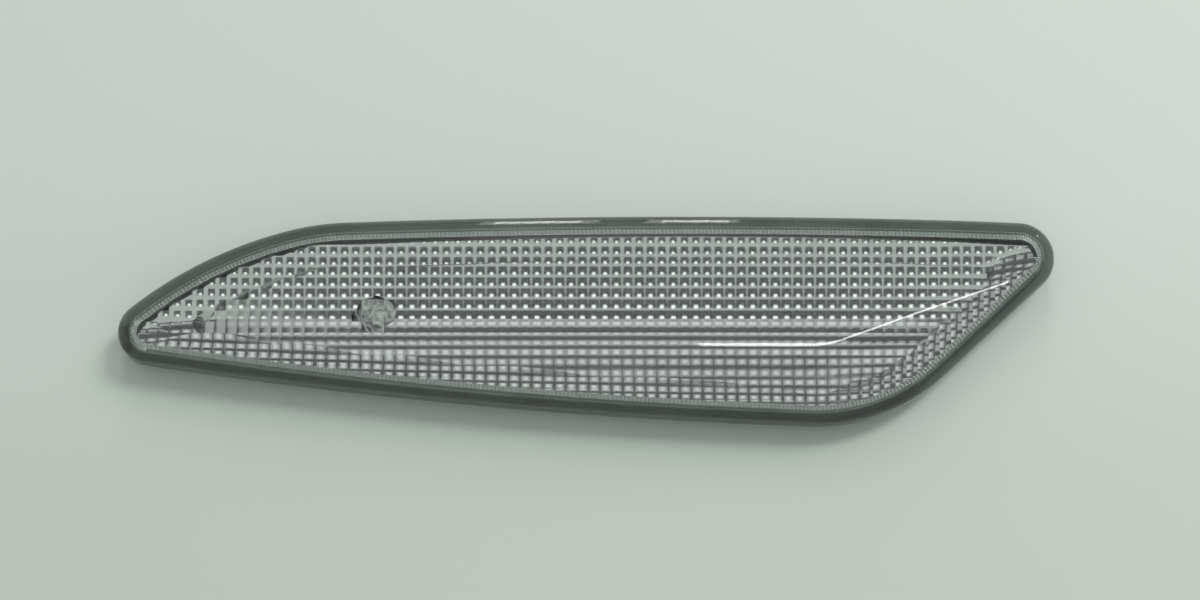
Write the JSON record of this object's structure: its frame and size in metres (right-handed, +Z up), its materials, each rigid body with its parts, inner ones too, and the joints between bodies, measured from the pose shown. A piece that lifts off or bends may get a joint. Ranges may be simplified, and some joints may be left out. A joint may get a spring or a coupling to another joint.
{
  "type": "side repeater lamp",
  "caption": "Slim car side repeater lamp: clear pillow-optic lens, bright trough reflector, dark housing with panel gasket, hook and spring, and a twist-lock bulb holder.",
  "frame": {"origin": "centre of the lamp outline's box on the panel seat, the rear face of the body gasket", "axes": "+X along the lamp towards its slanted end, +Z up, -Y out of the car through the lens"},
  "size_m": [0.1576, 0.0466, 0.0356],
  "materials": {
    "lens": "clear moulded acrylic, smooth outside, pillows inside",
    "housing": "dark grey moulded plastic, fine grain",
    "reflector": "vacuum-metallised plastic",
    "gasket": "soft closed-cell rubber",
    "spring_steel": "bent stainless strip",
    "holder": "glass-filled moulded plastic",
    "seal": "soft rubber ring",
    "contact": "stamped strip",
    "bulb_glass": "silvered bulb glass",
    "filament": "tungsten",
    "lead_wire": "drawn wire"
  },
  "bodies": {
    "lamp_body": {"housing": "housing", "lens": "lens", "reflector": "reflector", "body_gasket": "gasket", "retaining_spring": "spring_steel"},
    "bulb_unit": {"bulb_holder": "holder", "holder_seal": "seal", "contact_upper": "contact", "contact_lower": "contact", "bulb_glass": "bulb_glass", "bulb_filament": "filament", "bulb_lead_left": "lead_wire", "bulb_lead_right": "lead_wire"}
  },
  "joints": [
    {"name": "bulb_holder_twist", "type": "hinge", "parent": "lamp_body", "child": "bulb_unit", "pos_m": [-0.036, 0.015, 0.00216], "axis": [0, 1, 0], "range_deg": [0, 45]}
  ]
}
